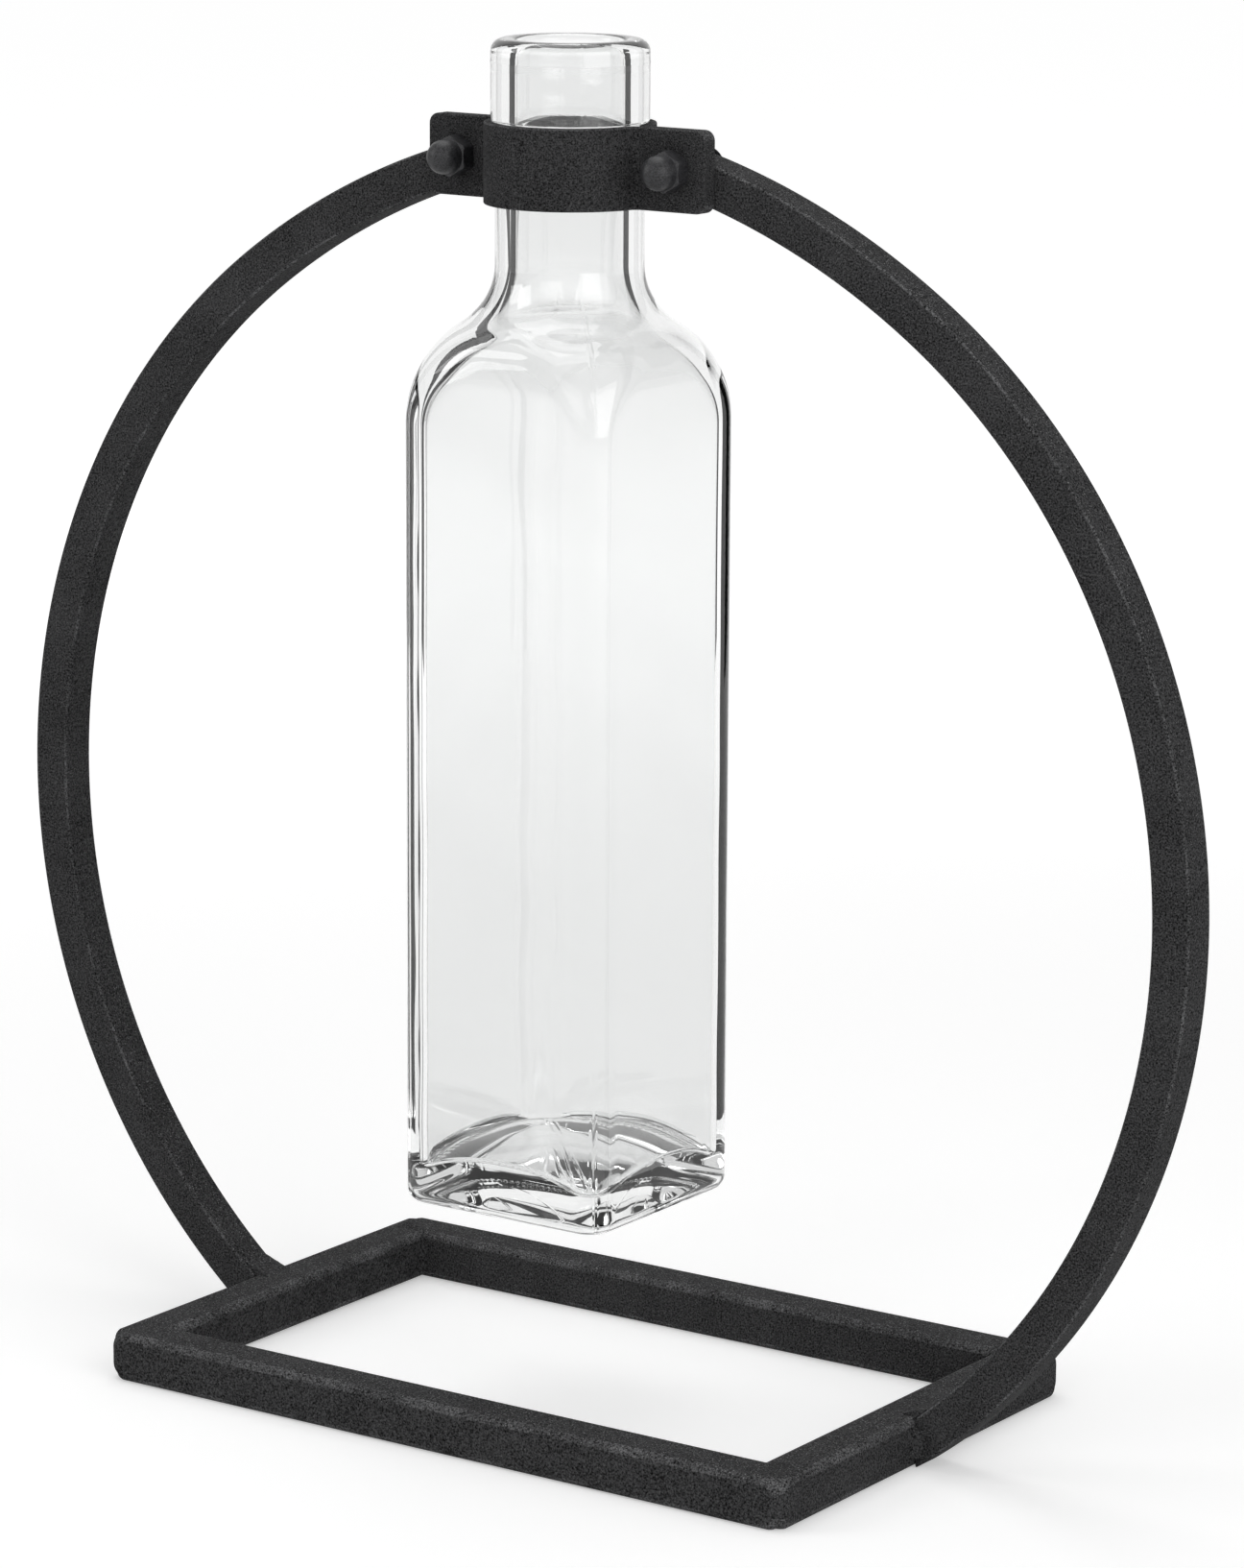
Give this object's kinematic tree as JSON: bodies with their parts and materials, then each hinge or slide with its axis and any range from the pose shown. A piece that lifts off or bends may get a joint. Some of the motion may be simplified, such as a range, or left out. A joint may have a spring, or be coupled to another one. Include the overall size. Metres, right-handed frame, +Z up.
{
  "type": "table-top bottle vase stand",
  "caption": "Square glass bottle used as a bud vase, hung by its neck in a bolted collar inside a round iron hoop on a rectangular bar base.",
  "frame": {"origin": "middle of the base's underside, on the surface that the stand rests on", "axes": "+X along the hoop's plane towards the right arm, -Y towards the cap nuts and the viewer, +Z up"},
  "size_m": [0.2724, 0.102, 0.2667],
  "materials": {
    "black_iron": "fine-textured black powder coat on square iron bar",
    "black_strap": "fine-textured black powder coat on flat iron strip",
    "black_fastener": "smoother black coat on steel fasteners",
    "clear_glass": "clear colourless moulded glass, polished"
  },
  "bodies": {
    "stand": {"base_front_bar": "black_iron", "base_back_bar": "black_iron", "base_left_bar": "black_iron", "base_right_bar": "black_iron", "base_weld_front_left": "black_iron", "base_weld_front_right": "black_iron", "base_weld_back_left": "black_iron", "base_weld_back_right": "black_iron", "hoop_left_arm": "black_iron", "hoop_right_arm": "black_iron", "foot_weld_left_front": "black_iron", "foot_weld_left_back": "black_iron", "foot_weld_left_top": "black_iron", "foot_weld_right_front": "black_iron", "foot_weld_right_back": "black_iron", "foot_weld_right_top": "black_iron", "collar_back_strap": "black_strap", "clamp_left_bolt": "black_fastener", "clamp_right_bolt": "black_fastener"},
    "front_strap": {"collar_front_strap": "black_strap"},
    "left_nut": {"clamp_left_cap_nut": "black_fastener"},
    "right_nut": {"clamp_right_cap_nut": "black_fastener"},
    "bottle": {"glass_bottle": "clear_glass"}
  },
  "joints": [
    {"name": "collar_opening", "type": "slide", "parent": "stand", "child": "front_strap", "axis": [0, -1, 0], "range_m": [0, 0.0028]},
    {"name": "left_nut_turn", "type": "hinge", "parent": "front_strap", "child": "left_nut", "pos_m": [-0.0247, -0.0076, 0.24331], "axis": [0, -1, 0], "range_deg": [0, 1440]},
    {"name": "right_nut_turn", "type": "hinge", "parent": "front_strap", "child": "right_nut", "pos_m": [0.0247, -0.0076, 0.24331], "axis": [0, -1, 0], "range_deg": [0, 1440]},
    {"name": "bottle_swivel", "type": "hinge", "parent": "stand", "child": "bottle", "pos_m": [0, -0.0058, 0.25106], "axis": [0, 0, 1], "continuous": true}
  ],
  "couplings": [
    {"joint": "left_nut_turn", "follows": "collar_opening", "rad_per_m": 8975.9},
    {"joint": "right_nut_turn", "follows": "collar_opening", "rad_per_m": 8975.9}
  ]
}
